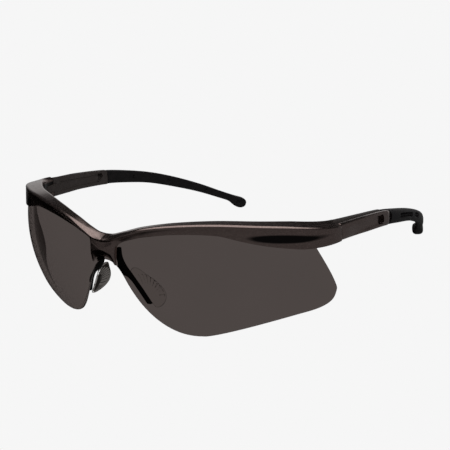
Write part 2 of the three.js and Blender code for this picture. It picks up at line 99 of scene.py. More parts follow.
# Temple stations from the hinge seam to the tip: centre, height of inner and outer face, width.
TEMPLE = [
    ((69.3, -31.6, 36.1), 8.9, 5.6, 5.2),
    ((69.5, -22.0, 35.1), 7.9, 6.0, 5.1),
    ((69.7, -13.5, 34.2), 7.2, 6.1, 5.0),
    ((69.2, 3.4, 31.8), 6.3, 5.9, 4.8),
    ((68.6, 15.6, 29.2), 5.8, 5.6, 4.5),
    ((66.6, 31.0, 25.2), 5.1, 5.0, 4.0),
    ((63.5, 45.0, 20.2), 4.7, 4.6, 3.8),
    ((58.2, 58.4, 14.4), 3.9, 3.9, 3.6),
    ((53.2, 68.5, 9.1), 3.4, 3.4, 3.4),
    ((50.5, 73.6, 6.3), 3.5, 3.5, 3.4),
    ((48.4, 77.1, 3.7), 5.1, 5.1, 4.8),
    ((46.4, 80.7, 2.1), 5.1, 5.1, 4.8),
]
# Where the rubber begins on the inner side, the share of the width that lies inside the cover, and the
# cover's rear end.
SLEEVE_START = 3.4
COVER_SHARE = 0.56
COVER_REAR_Y = 7.6

# Stations down a leg of the nose bracket: half-span, height and width.
BRACKET_LEG = [
    (3.9, 33.0, 1.6), (4.2, 29.5, 2.5), (5.5, 26.4, 3.5), (7.5, 23.7, 3.9), (9.8, 21.3, 2.3),
    (11.8, 18.2, 2.2), (14.5, 12.6, 2.1),
]
BRACKET_DEPTH = 1.7

# The left pad's plane: its lower end and its direction up the leg.
PAD_FOOT = Vector((15.2, -71.3, 10.9))
PAD_UP = Vector((-7.2, -3.4, 11.3))


# ---- Curves --------------------------------------------------------------------------------------

def mix(a, b, t):
    """The value a share t of the way from a to b."""
    return a + (b - a) * t


def ease(value, start, end):
    """A soft step from 0 at start to 1 at end."""
    t = min(max((value - start) / (end - start), 0.0), 1.0)
    return t * t * (3 - 2 * t)


def spread(start, end, count):
    """Evenly spaced values, both ends included."""
    return [mix(start, end, i / count) for i in range(count + 1)]


def smooth(knots, values, at):
    """A value on the smooth curve through a list of stations."""
    i = 0
    while i + 2 < len(knots) and at > knots[i + 1]:
        i += 1
    before = max(i - 1, 0)
    after = min(i + 2, len(knots) - 1)
    span = knots[i + 1] - knots[i]
    t = min(max((at - knots[i]) / span, 0.0), 1.0)
    slope_from = (values[i + 1] - values[before]) / (knots[i + 1] - knots[before]) * span
    slope_to = (values[after] - values[i]) / (knots[after] - knots[i]) * span
    t2, t3 = t * t, t * t * t
    return (
        (2 * t3 - 3 * t2 + 1) * values[i]
        + (t3 - 2 * t2 + t) * slope_from
        + (3 * t2 - 2 * t3) * values[i + 1]
        + (t3 - t2) * slope_to
    )


def straight(knots, values, at):
    """A value on the straight runs between stations."""
    if at <= knots[0]:
        return values[0]
    for k in range(len(knots) - 1):
        if at <= knots[k + 1]:
            return mix(values[k], values[k + 1], (at - knots[k]) / (knots[k + 1] - knots[k]))
    return values[-1]


def bezier(points, count):
    """Points along a cubic or quadratic Bezier curve, both ends included."""
    curve = []
    for t in spread(0.0, 1.0, count):
        level = [Vector(p) for p in points]
        while len(level) > 1:
            level = [a.lerp(b, t) for a, b in zip(level, level[1:])]
        curve.append(level[0])
    return curve


def rounded(corners, steps=4):
    """A closed outline through corners (u, v, radius), each corner replaced by a short curve."""
    outline = []
    for i, (u, v, radius) in enumerate(corners):
        here = Vector((u, v))
        ends = []
        for other in (corners[i - 1], corners[(i + 1) % len(corners)]):
            arm = Vector(other[:2]) - here
            reach = min(radius, 0.45 * arm.length)
            ends.append(here + (arm.normalized() * reach if arm.length > 1e-6 else Vector((0, 0))))
        outline += bezier([ends[0], here, ends[1]], steps)
    return outline


def circle(radius, sides=40):
    """A closed outline round the origin."""
    return [(radius * math.cos(a), radius * math.sin(a)) for a in spread(0, 2 * math.pi, sides)[:-1]]


def squarer(value, power):
    """A sine or cosine bent so that a circle comes out as a rounded square."""
    return math.copysign(abs(value) ** power, value)


# ---- Meshes --------------------------------------------------------------------------------------

def add_object(name, data):
    """A new object in the scene for a mesh or camera."""
    obj = bpy.data.objects.new(name, data)
    bpy.context.scene.collection.objects.link(obj)
    return obj


def new_piece(name, points, faces):
    """A mesh object from points in millimetres."""
    mesh = bpy.data.meshes.new(name)
    mesh.from_pydata([Vector(p) * MM for p in points], [], faces)
    obj = add_object(name, mesh)
    clean(obj)
    return obj


def clean(obj, weld=0.004, empty=0.001):
    """Welds doubled points, drops empty faces and turns every face outward."""
    work = bmesh.new()
    work.from_mesh(obj.data)
    bmesh.ops.remove_doubles(work, verts=work.verts, dist=weld * MM)
    bmesh.ops.dissolve_degenerate(work, edges=work.edges, dist=empty * MM)
    bmesh.ops.recalc_face_normals(work, faces=work.faces)
    work.to_mesh(obj.data)
    work.free()
    shade_smooth(obj)


def shade_smooth(obj):
    """Shades every face as part of one smooth surface."""
    for polygon in obj.data.polygons:
        polygon.use_smooth = True


def loft(name, rings):
    """A closed body through rings of equal point counts, each end closed by a fan."""
    count = len(rings[0])
    points = [p for ring in rings for p in ring]
    faces = []
    for r in range(len(rings) - 1):
        for i in range(count):
            a = r * count + i
            b = r * count + (i + 1) % count
            faces.append((a, b, b + count, a + count))
    for r in (0, len(rings) - 1):
        centre = sum((Vector(p) for p in rings[r]), Vector()) / count
        points.append(centre)
        middle = len(points) - 1
        faces += [(r * count + i, r * count + (i + 1) % count, middle) for i in range(count)]
    return new_piece(name, points, faces)


def extrude(name, outline, place, depth):
    """An outline of (u, v) points as a prism. place(u, v, w) gives the point at depth w."""
    rings = [[place(u, v, w) for u, v in outline] for w in depth]
    return loft(name, rings)


def combine(obj, cutter, operation):
    """Joins or cuts obj with cutter, which is used up."""
    modifier = obj.modifiers.new("combine", "BOOLEAN")
    modifier.operation = operation
    modifier.solver = "EXACT"
    modifier.object = cutter
    bake_modifiers(obj)
    bpy.data.objects.remove(cutter)


def bake_modifiers(obj):
    """Turns what the modifiers make into the piece's own mesh."""
    graph = bpy.context.evaluated_depsgraph_get()
    mesh = bpy.data.meshes.new_from_object(obj.evaluated_get(graph))
    obj.modifiers.clear()
    old = obj.data
    obj.data = mesh
    bpy.data.meshes.remove(old)
    mesh.name = obj.name


def join(obj, others):
    """Adds other closed bodies to a piece's mesh."""
    work = bmesh.new()
    work.from_mesh(obj.data)
    for other in others:
        work.from_mesh(other.data)
        bpy.data.objects.remove(other)
    work.to_mesh(obj.data)
    work.free()


def crisp(obj, angle=32):
    """Keeps edges sharper than an angle sharp, and flat faces flat."""
    limit = math.radians(angle)
    work = bmesh.new()
    work.from_mesh(obj.data)
    for edge in work.edges:
        edge.smooth = not (len(edge.link_faces) == 2 and edge.calc_face_angle(0.0) > limit)
    for face in work.faces:
        face.smooth = True
    work.to_mesh(obj.data)
    work.free()
    modifier = obj.modifiers.new("flat faces", "WEIGHTED_NORMAL")
    modifier.keep_sharp = True
    modifier.weight = 60


def mirror(obj, name):
    """The same piece on the other side of the face."""
    copy = obj.copy()
    copy.data = obj.data.copy()
    copy.name = name
    copy.data.name = name
    bpy.context.scene.collection.objects.link(copy)
    copy.data.transform(Matrix.Scale(-1, 4, Vector((1, 0, 0))))
    copy.data.flip_normals()
    return copy


def dress(obj, material):
    """Gives a piece its one material."""
    obj.data.materials.clear()
    obj.data.materials.append(material)


# ---- Materials -----------------------------------------------------------------------------------

def nodes_of(name):
    """A new material with its node tree and its shader."""
    material = bpy.data.materials.new(name)
    material.use_nodes = True
    tree = material.node_tree
    return material, tree, tree.nodes["Principled BSDF"]


def millimetres(tree):
    """Coordinates on the object in millimetres."""
    coordinates = tree.nodes.new("ShaderNodeTexCoord")
    mapping = tree.nodes.new("ShaderNodeMapping")
    mapping.inputs["Scale"].default_value = (1 / MM,) * 3
    tree.links.new(coordinates.outputs["Object"], mapping.inputs["Vector"])
    return mapping.outputs["Vector"]


def noise(tree, vector, scale, detail=3.0):
    """Soft clouds, scale to the millimetre."""
    node = tree.nodes.new("ShaderNodeTexNoise")
    node.inputs["Scale"].default_value = scale
    node.inputs["Detail"].default_value = detail
    tree.links.new(vector, node.inputs["Vector"])
    return node.outputs["Fac"]


def flakes(tree, vector, scale):
    """A random grey for each little cell."""
    node = tree.nodes.new("ShaderNodeTexVoronoi")
    node.inputs["Scale"].default_value = scale
    tree.links.new(vector, node.inputs["Vector"])
    split = tree.nodes.new("ShaderNodeSeparateColor")
    tree.links.new(node.outputs["Color"], split.inputs["Color"])
    return split.outputs["Red"]


def ramp(tree, factor, stops):
    """A colour ramp with stops (position, colour)."""
    node = tree.nodes.new("ShaderNodeValToRGB")
    while len(node.color_ramp.elements) < len(stops):
        node.color_ramp.elements.new(0.5)
    for element, (at, colour) in zip(node.color_ramp.elements, stops):
        element.position = at
        element.color = (*colour, 1.0)
    tree.links.new(factor, node.inputs["Fac"])
    return node.outputs["Color"]


def uneven(tree, shader, socket, factor, low, high):
    """Lets a noise run a socket of the shader between two colours or greys."""
    tree.links.new(ramp(tree, factor, [(0.3, low), (0.7, high)]), shader.inputs[socket])


def bump(tree, height, shader, strength, distance):
    """Relief from a height, distance in millimetres."""
    node = tree.nodes.new("ShaderNodeBump")
    node.inputs["Strength"].default_value = strength
    node.inputs["Distance"].default_value = distance * MM
    tree.links.new(height, node.inputs["Height"])
    tree.links.new(node.outputs["Normal"], shader.inputs["Normal"])


def grey(value):
    return (value, value, value)


def maths(tree, operation, a, b):
    """A maths node of two inputs, each a number or another node's output."""
    node = tree.nodes.new("ShaderNodeMath")
    node.operation = operation
    for socket, value in zip(node.inputs, (a, b)):
        if isinstance(value, (int, float)):
            socket.default_value = value
        else:
            tree.links.new(value, socket)
    return node.outputs["Value"]


# Painted shade: the dark almond on the lower face of the bar near each hinge, where that face mirrors no
# light.
# Half-span and height of its middle, half its length and height, how far it drops for each millimetre
# outward, and its colour.
SHADE_ALMOND_X, SHADE_ALMOND_Z = 61.0, 38.4
SHADE_ALMOND_LENGTH, SHADE_ALMOND_HEIGHT = 11.0, 1.7
SHADE_ALMOND_DROP = 0.108
SHADE_ALMOND_COLOUR = (0.01, 0.008, 0.008, 1)


def painted_shade_almond(tree, vector):
    """Mask of the painted shade: 1 inside the almond, 0 outside, soft between."""
    position = tree.nodes.new("ShaderNodeSeparateXYZ")
    tree.links.new(vector, position.inputs["Vector"])
    along = maths(tree, "SUBTRACT", maths(tree, "ABSOLUTE", position.outputs["X"], 0), SHADE_ALMOND_X)
    height = maths(tree, "SUBTRACT", position.outputs["Z"], SHADE_ALMOND_Z)
    height = maths(tree, "ADD", height, maths(tree, "MULTIPLY", along, SHADE_ALMOND_DROP))
    squares = []
    for value, half in ((along, SHADE_ALMOND_LENGTH), (height, SHADE_ALMOND_HEIGHT)):
        share = maths(tree, "DIVIDE", value, half)
        squares.append(maths(tree, "MULTIPLY", share, share))
    return ramp(tree, maths(tree, "ADD", *squares), [(0.55, grey(1)), (0.95, grey(0))])


def over(tree, colour, paint, mask):
    """Paint laid over a colour where mask is 1. A mix node takes colours at 6 and 7 and gives one at 2."""
    node = tree.nodes.new("ShaderNodeMix")
    node.data_type = "RGBA"
    tree.links.new(mask, node.inputs[0])
    tree.links.new(colour, node.inputs[6])
    node.inputs[7].default_value = paint
    return node.outputs[2]


def metallic_paint(name, dark, light, rough, coat):
    """Metallic paint: fine flakes of slightly different brightness under a clear coat, with painted shade in
    a dark almond near each hinge.
    """
    material, tree, shader = nodes_of(name)
    vector = millimetres(tree)
    sparkle = flakes(tree, vector, 5.0)
    brightest = tuple(1.5 * c for c in light)
    flaked = ramp(tree, sparkle, [(0.0, dark), (0.94, light), (1.0, brightest)])
    # Painted shade: the almond near each hinge is darkened where the lower face mirrors no light.
    with_painted_shade = over(tree, flaked, SHADE_ALMOND_COLOUR, painted_shade_almond(tree, vector))
    tree.links.new(with_painted_shade, shader.inputs["Base Color"])
    uneven(tree, shader, "Roughness", noise(tree, vector, 0.6), grey(rough - 0.03), grey(rough + 0.03))
    bump(tree, sparkle, shader, 0.05, 0.01)
    shader.inputs["Metallic"].default_value = 1.0
    shader.inputs["Coat Weight"].default_value = coat
    shader.inputs["Coat Roughness"].default_value = 0.05
    return material


def moulded(name, dark, light, rough, grain, grain_scale, specular):
    """Moulded plastic or rubber: a slightly uneven colour and a fine grain."""
    material, tree, shader = nodes_of(name)
    vector = millimetres(tree)
    uneven(tree, shader, "Base Color", noise(tree, vector, 0.35), dark, light)
    uneven(tree, shader, "Roughness", noise(tree, vector, 1.7), grey(rough - 0.05), grey(rough + 0.05))
    bump(tree, noise(tree, vector, grain_scale, 2.0), shader, grain, 0.05)
    shader.inputs["Specular IOR Level"].default_value = specular
    return material


def clear(shader, ior):
    """Lets the shader pass light without blurring it."""
    shader.inputs["Roughness"].default_value = 0.0
    shader.inputs["Transmission Weight"].default_value = 1.0
    shader.inputs["IOR"].default_value = ior


def tinted(name, dark, light, ior):
    """Clear plastic dyed in the mass."""
    material, tree, shader = nodes_of(name)
    uneven(tree, shader, "Base Color", noise(tree, millimetres(tree), 0.05), dark, light)
    clear(shader, ior)
    return material


def soft_clear(name, face_on, slanted, ior):
    """Soft clear elastomer: nearly colourless seen face on, smoky where it is seen at a slant."""
    material, tree, shader = nodes_of(name)
    weight = tree.nodes.new("ShaderNodeLayerWeight")
    weight.inputs["Blend"].default_value = 0.5
    smoky = ramp(tree, weight.outputs["Facing"], [(0.48, face_on), (0.55, slanted)])
    tree.links.new(smoky, shader.inputs["Base Color"])
    clear(shader, ior)
    return material


def steel(name):
    """Bare turned steel."""
    material, tree, shader = nodes_of(name)
    turned = noise(tree, millimetres(tree), 9.0)
    uneven(tree, shader, "Base Color", turned, grey(0.32), grey(0.5))
    uneven(tree, shader, "Roughness", turned, grey(0.25), grey(0.4))
    shader.inputs["Metallic"].default_value = 1.0
    return material


PAINT = metallic_paint("gunmetal paint", (0.24, 0.175, 0.16), (0.33, 0.25, 0.23), 0.22, 0.3)
SATIN = moulded("satin moulding", (0.026, 0.020, 0.018), (0.034, 0.027, 0.025), 0.42, 0.1, 5.0, 0.3)
BLACK = moulded("black moulding", (0.0015, 0.0015, 0.0015), (0.004, 0.004, 0.004), 0.4, 0.1, 5.0, 0.15)
RUBBER = moulded("sleeve rubber", (0.004, 0.003, 0.0037), (0.007, 0.005, 0.006), 0.5, 0.2, 6.0, 0.3)
SMOKE = tinted("smoke lens", (0.077, 0.064, 0.060), (0.080, 0.066, 0.062), 1.12)
PAD = soft_clear("pad elastomer", (0.9, 0.89, 0.88), (0.010, 0.0085, 0.0075), 1.03)
STEEL = steel("machined steel")


# ---- Lens ----------------------------------------------------------------------------------------

def lens_fall(z):
    """How far the lens front falls back at a height."""
    return (z - LENS_CROWN_Z) ** 2 / (2 * LENS_FALL_RADIUS)


def lens_point(x, z, reach):
    """Point a distance out of the lens front, square to it in plan."""
    radius = LENS_RADIUS - lens_fall(z)
    turn = math.asin(x / radius)
    return Vector(((radius + reach) * math.sin(turn), LENS_AXIS_Y - (radius + reach) * math.cos(turn), z))


def lens_front_y(x, z):
    return lens_point(x, z, 0.0).y


def curve_table(curves):
    """Stations and heights of an outline made of Bezier runs, in order of growing x."""
    points = [p for run in curves for p in bezier(run, 40)]
    points.sort(key=lambda p: p.x)
    return [p.x for p in points], [p.y for p in points]


LOWER_EDGE = curve_table([
    [(0, 28.6), (4.2, 28.6), (6.3, 25.6), (7.9, 22.5)],
    [(7.9, 22.5), (12.5, 13.4), (19, 0), (31, 0)],
    [(31, 0), (33, 0)],
    [(33, 0), (37, 0.2), (55, 6.6), (65.4, 9.0)],
    [(65.4, 9.0), (70.6, 10.2), (73.2, 12.6), (73.28, 17.6)],
])
UPPER_EDGE = curve_table([
    [(0, 34.8), (12, 38.7), (22, 42.2), (38, 42.9)],
    [(38, 42.9), (50, 42.9), (60, 40.5), (67.6, 36.9)],
    [(67.6, 36.9), (69.0, 34)],
    [(69.0, 34), (71.3, 28.6), (72.9, 23.6), (73.28, 18.6)],
])


def lens_column(x):
    """Closed section of the lens at a half-span, its lower edge bevelled and its upper edge just broken."""
    bottom = straight(*LOWER_EDGE, abs(x))
    top = straight(*UPPER_EDGE, abs(x))
    step = 0.15
    ahead = straight(*LOWER_EDGE, abs(x) + step)
    steepness = min(math.hypot(1.0, (ahead - bottom) / step), 3.0)
    inset = min(LENS_BEVEL * steepness, 0.3 * (top - bottom))
    trim = min(0.3, 0.2 * (top - bottom))
    bevel = [(0.12, 0.55), (0.35, 0.15), (0.6, 0.0), (0.85, 0.12)]
    column = []
    for z in spread(bottom + inset, top - trim, 22):
        column.append(lens_point(x, z, 0.0))
    for depth in (0.5, 1.0):
        column.append(lens_point(x, top - trim * (1 - depth), -depth * LENS_THICKNESS))
    for z in spread(top - trim, bottom + 0.4 * inset, 22)[1:]:
        column.append(lens_point(x, z, -LENS_THICKNESS))
    for depth, share in reversed(bevel):
        column.append(lens_point(x, bottom + share * inset, -depth * LENS_THICKNESS))
    return column


def lens_stations():
    """Half-spans of the lens columns, closest together over the nose and at the outer corner."""
    near = spread(0.0, 20.0, 56)
    middle = spread(20.0, 60.0, 44)[1:]
    corner = 13.27
    outer = [60.0 + corner * math.sin(math.pi / 2 * t) for t in spread(0.0, 1.0, 40)][1:]
    half = near + middle + outer
    return [-x for x in reversed(half)] + half[1:]


def make_lens():
    """The one-piece wrap lens."""
    lens = loft("smoke_lens", [lens_column(x) for x in lens_stations()])
    crisp(lens, 30)
    dress(lens, SMOKE)
    return lens


# ---- Brow bar and bridge -------------------------------------------------------------------------

LENS_LENGTH = LENS_RADIUS * math.asin(BEND_START_X / LENS_RADIUS)
BEND_ANGLE = math.pi / 2 - math.asin(BEND_START_X / LENS_RADIUS)
BROW_LENGTH = LENS_LENGTH + BEND_RADIUS * BEND_ANGLE


def brow_path(length):
    """Point of the bar's plan curve and the outward direction there."""
    if length <= LENS_LENGTH:
        turn = length / LENS_RADIUS
        out = Vector((math.sin(turn), -math.cos(turn), 0))
        return out * LENS_RADIUS + Vector((0, LENS_AXIS_Y, 0)), out
    start, out = brow_path(LENS_LENGTH)
    centre = start - out * BEND_RADIUS
    turn = LENS_LENGTH / LENS_RADIUS + (length - LENS_LENGTH) / BEND_RADIUS
    out = Vector((math.sin(turn), -math.cos(turn), 0))
    return centre + out * BEND_RADIUS, out


def by_span(knots, values, length):
    """A value by half-span, its last entry standing at the bar's end."""
    lengths = [LENS_RADIUS * math.asin(x / LENS_RADIUS) for x in knots] + [BROW_LENGTH]
    return smooth(lengths, values, length)


def brow_corners(length):
    """Corners (reach, height, radius) of the bar's section: lip, front, top, back and underside."""
    out, ridge, top, heel, crest, depth = (by_span(BROW_X, values, length) for values in BROW.values())
    lip = by_span(LIP_X, LIP_Z, length)
    lip_out = by_span(LIP_OUT_X, LIP_OUT, length)
    near_end = ease(length, LENS_LENGTH - 6, LENS_LENGTH + 6)
    centre = 1 - ease(length, 3.0, 15.0)
    chamfer = mix(0.6, 1.5, ease(length, 0.5, 4.0) * centre) * mix(1.0, 0.7, near_end)
    cove = (out - mix(mix(0.45, 0.1, near_end), 0.9, centre), ridge - 0.75)
    stand = BRIDGE_PEAK - BRIDGE_SIDE_FALL * length
    merge = ease(length, 4.4, 6.2)
    hollow = 0.25 * (1 - near_end)
    low_face = (mix(lip_out, cove[0], 0.33) - hollow, mix(lip, cove[1], 0.33))
    high_face = (mix(lip_out, cove[0], 0.7) - hollow, mix(lip, cove[1], 0.7))
    down_z = BRIDGE_PEAK_Z - BRIDGE_CREASE_DOWN * length
    up_z = BRIDGE_PEAK_Z + BRIDGE_CREASE_UP * length
    down = (mix(stand, low_face[0], merge), mix(down_z, low_face[1], merge))
    up = (mix(stand, high_face[0], merge), mix(up_z, high_face[1], merge))
    crease = mix(0.35, 1.4, merge)
    closed = ease(length, LENS_LENGTH - 1, LENS_LENGTH + 5)

    def underside(reach):
        """Height of the straight line from the heel to the lip."""
        return mix(heel, lip, (reach + depth) / (depth + lip_out))

    inner, outer = -2.5, min(0.25, lip_out - 0.3)
    return [
        (lip_out, lip, 0.3),
        (*down, crease),
        (*up, crease),
        (*cove, 0.25),
        (out, ridge - 0.1, 0.3),
        (out - chamfer, ridge + 0.85 * chamfer, 0.6),
        (-crest, top, 0.7),
        (-depth, top - 0.3 - 0.75 * (depth - crest), 0.7),
        (-depth, heel, 0.5),
        (inner, mix(heel, underside(inner), closed), 0.1),
        (inner, mix(heel + 1.5, underside(inner) + 0.02, closed), 0.1),
        (outer, mix(heel + 1.5, underside(outer) + 0.02, closed), 0.1),
        (outer, mix(lip, underside(outer), closed), 0.1),
    ]


def brow_ring(length, side, shrink=0.0):
    """The bar's section at a length along it, drawn in towards its middle by shrink."""
    at, out = brow_path(length)
    corners = brow_corners(length)
    follows_lens = 1 - ease(length, LENS_LENGTH, BROW_LENGTH)
    outline = rounded(corners)
    middle = sum(outline, Vector((0, 0))) / len(outline)
    ring = []
    for point in outline:
        reach, z = point.lerp(middle, shrink)
        p = at + out * (reach - follows_lens * lens_fall(z))
        ring.append(Vector((side * p.x, p.y, z)))
    return ring


def hinge_cutter(side):
    """Room in the frame end for the temple's tongue, with round corners."""
    room = BARREL_RADIUS + 0.35
    half = TONGUE_HEIGHT / 2 + GAP
    inside, back = 58.0, SEAM_Y + 1
    front = HINGE_Y - room
    arc = [(HINGE_X + room * math.cos(a), HINGE_Y + room * math.sin(a)) for a in spread(-math.pi / 2, 0, 8)]
    outline = [(inside, front), *arc, (HINGE_X + room, back), (inside, back)]
    return extrude("hinge room", outline, lambda u, v, w: (side * u, v, w), [HINGE_Z - half, HINGE_Z + half])


def round_bar(name, x, y, low, high, radius):
    """An upright round bar between two heights."""
    return extrude(name, circle(radius), lambda u, v, w: (x + u, y + v, w), [low, high])


def make_brow():
    """The bar with both hinge rooms, and under each a bore for the screw's head."""
    half = spread(0.0, 11.0, 90) + spread(11.0, BROW_LENGTH - 0.25, 120)[1:]
    rings = [brow_ring(BROW_LENGTH, -1, 0.06)] + [brow_ring(s, -1) for s in reversed(half)]
    rings += [brow_ring(s, 1) for s in half[1:]] + [brow_ring(BROW_LENGTH, 1, 0.06)]
    brow = loft("brow_shell", rings)
    below, head_z = 30.0, HINGE_Z - TONGUE_HEIGHT / 2 - GAP - 0.9
    head_room = 1.7
    for side in (-1, 1):
        combine(brow, hinge_cutter(side), "DIFFERENCE")
        combine(brow, round_bar("bore", side * HINGE_X, HINGE_Y, below, head_z, head_room), "DIFFERENCE")
    crisp(brow)
    dress(brow, PAINT)
    return brow


# ---- Temples -------------------------------------------------------------------------------------

TEMPLE_Y = [station[0][1] for station in TEMPLE]


def temple_at(y):
    """Centre, heights of the inner and outer face, and width of the left temple at y."""
    centre = Vector([smooth(TEMPLE_Y, [s[0][k] for s in TEMPLE], y) for k in range(3)])
    centre.y = y
    inner, outer, width = (smooth(TEMPLE_Y, [s[k] for s in TEMPLE], y) for k in (1, 2, 3))
    return centre, inner, outer, width


def temple_axes(y):
    """Directions across, up and along the temple: straight back at first, along its curve further on."""
    step = 0.5
    ahead = temple_at(min(y + step, TEMPLE_Y[-1]))[0]
    behind = temple_at(max(y - step, TEMPLE_Y[0]))[0]
    along = (ahead - behind).normalized()
    forward = Vector((0, 1, 0)).lerp(along, ease(y, 10, 50)).normalized()
    across = forward.cross(Vector((0, 0, 1))).normalized()
    up = across.cross(forward).normalized()
    return across, up, forward


RING_SIDES = 72


def temple_ring(y, start, end, squareness, shape=None, trim=0.0):
    """Ring across the left temple between two shares of its width, made smaller all round by trim.
    shape(y, u, v, width, centre) may move a point of it, with u across the temple and v up."""
    centre, inner, outer, width = temple_at(y)
    across, up, _ = temple_axes(y)
    middle = ((start + end) / 2 - 0.5) * width
    half_width = (end - start) * width / 2 - trim
    ring = []
    for i in range(RING_SIDES):
        turn = 2 * math.pi * (i + 0.5) / RING_SIDES
        u = middle + half_width * squarer(math.cos(turn), squareness)
        share = min(max(u / width + 0.5, 0.0), 1.0)
        half_height = mix(inner, outer, share) / 2 - trim
        v = half_height * squarer(math.sin(turn), squareness)
        if shape:
            u, v = shape(y, u, v, width, centre)
        ring.append(centre + across * u + up * v)
    return ring


# The cover's half-round rear end: height of its middle, and how far it reaches below and above that.
COVER_END_Z = 31.5
COVER_END_BELOW, COVER_END_ABOVE = 3.15, 3.5

# The long scoop in the cover's outer face: its upper and lower edge as y and height, and its depth.
SCOOP_TOP = [-31.0, -24.0, -12.0, -4.0, -1.2], [37.0, 36.5, 35.4, 34.9, 34.3]
SCOOP_FOOT = [-31.0, -20.0, -10.0, -4.0, 0.0], [30.6, 31.4, 31.2, 30.6, 30.3]
SCOOP_DEPTH = 1.15

# The hole behind the scoop, through the cover and then the arm: corners as y and height, and radius.
COVER_HOLE = [(-2.6, 30.9, 0.6), (0.3, 30.6, 0.8), (1.0, 32.4, 1.0), (0.1, 34.4, 0.8), (-2.4, 34.6, 0.6)]
ARM_HOLE = [(-3.4, 31.0), (-1.9, 31.6), (0.3, 33.4), (-0.6, 34.9), (-3.2, 35.1), (-2.4, 33.2)]
ARM_HOLE_RADIUS = 0.35

# The recess in the arm's inner face: its height and half height at RECESS_Y, what each loses for each
# millimetre further back, and its depth.
RECESS_Y = -22
RECESS_Z, RECESS_Z_LOSS = 34.9, 0.105
RECESS_HALF, RECESS_HALF_LOSS = 1.9, 0.012
RECESS_DEPTH = 0.45

# The sleeve's two grooves, front to rear, with a low rib inside, and its round dimples.
GROOVES = ((16.0, 31.5), (34.5, 40.5))
GROOVE_DEPTH, GROOVE_RIB = 0.8, 0.7
DIMPLES = (20.2, 42.0, 61.5, 76.5)
DIMPLE_DEPTH = 0.6


def cover_limits(y):
    """Lowest and highest z of the cover, which bound it only at its half-round rear end."""
    start = SLEEVE_START - 1.0
    if y <= start:
        return -math.inf, math.inf
    t = min((y - start) / (COVER_REAR_Y - start), 1.0)
    round_share = math.sqrt(max(1 - t ** 2, 0.0))
    return COVER_END_Z - COVER_END_BELOW * round_share, COVER_END_Z + COVER_END_ABOVE * round_share


def scoop_depth(y, z):
    """How deep the scoop lies in the cover's outer face at a place."""
    upper = straight(*SCOOP_TOP, y)
    lower = straight(*SCOOP_FOOT, y)
    inside = ease(z, lower - 0.5, lower + 1.6) * (1 - ease(z, upper - 0.5, upper))
    along = ease(y, -31.0, -14.0) * (1 - ease(y, -0.9, 0.1))
    return SCOOP_DEPTH * inside * along


def cover_shape(y, u, v, width, centre):
    """The scoop, the round rear end, and the outer face bending in towards that end."""
    low, high = cover_limits(y)
    v = min(max(centre.z + v, low), high) - centre.z
    outer = ease(u / width + 0.5, 0.72, 0.86)
    u -= outer * scoop_depth(y, centre.z + v)
    if y > SLEEVE_START:
        rear = ease(y, SLEEVE_START, COVER_REAR_Y)
        u -= outer * 0.5 * rear * rear
    return u, v


def hole_cutter(outline, inside, outside):
    """An outline of (y, z) as a prism from one x to another."""
    return extrude("hole", outline, lambda u, v, w: (w, u, v), [inside, outside])


def make_cover():
    """The outer shell. Its rings stand closest together at the rear end."""
    section = (COVER_SHARE, 1.0, 0.68, cover_shape)
    length = COVER_REAR_Y - SEAM_Y - GAP
    stations = [COVER_REAR_Y - 0.02 - (length - 0.17) * t ** 1.6 for t in spread(1.0, 0.0, 170)]
    rings = [temple_ring(SEAM_Y + GAP, *section, trim=0.15)]
    rings += [temple_ring(y, *section) for y in stations]
    cover = loft("left_cover_shell", rings)
    combine(cover, hole_cutter(rounded(COVER_HOLE), 66.0, 75.0), "DIFFERENCE")
    crisp(cover)
    dress(cover, PAINT)
    return cover


def arm_shape(y, u, v, width, centre):
    """The shallow recess along the inner face."""
    middle = RECESS_Z - RECESS_Z_LOSS * (y - RECESS_Y)
    half = RECESS_HALF - RECESS_HALF_LOSS * (y - RECESS_Y)
    inside = 1 - ease(abs(centre.z + v - middle), half - 0.25, half)
    along = ease(y, -27.5, -26.8) * (1 - ease(y, -3.0, -1.0))
    inner = 1 - ease(u / width + 0.5, 0.06, 0.2)
    return u + RECESS_DEPTH * inside * along * inner, v


def make_tongue(low, high):
    """The flat tongue that reaches forward from the arm, round where it turns on the screw."""
    arc = [(HINGE_X + BARREL_RADIUS * math.cos(a), HINGE_Y + BARREL_RADIUS * math.sin(a))
           for a in spread(math.pi, 2 * math.pi, 18)]
    inner, outer = HINGE_X - BARREL_RADIUS, HINGE_X + 1.2
    root = SEAM_Y + 1.5
    outline = [(outer, root), (inner, root), *arc, (outer, HINGE_Y + 1.2)]
    return extrude("tongue", outline, lambda u, v, w: (u, v, w), [low, low + 0.01, high - 0.01, high])


def make_arm():
    """The inner moulding, with the hinge tongue and its bore."""
    section = (0.0, COVER_SHARE - 0.02, 0.5, arm_shape)
    stations = spread(SEAM_Y + GAP + 0.12, SLEEVE_START - GAP, 130)
    rings = [temple_ring(SEAM_Y + GAP, *section, trim=0.12)]
    rings += [temple_ring(y, *section) for y in stations]
    arm = loft("left_arm_shell", rings)
    low, high = HINGE_Z - TONGUE_HEIGHT / 2, HINGE_Z + TONGUE_HEIGHT / 2
    combine(arm, make_tongue(low, high), "UNION")
    combine(arm, round_bar("bore", HINGE_X, HINGE_Y, low - 1, high + 1, 1.0), "DIFFERENCE")
    hole = rounded([(y, z, ARM_HOLE_RADIUS) for y, z in ARM_HOLE])
    combine(arm, hole_cutter(hole, 60.0, 72.0), "DIFFERENCE")
    crisp(arm)
    dress(arm, SATIN)
    return arm


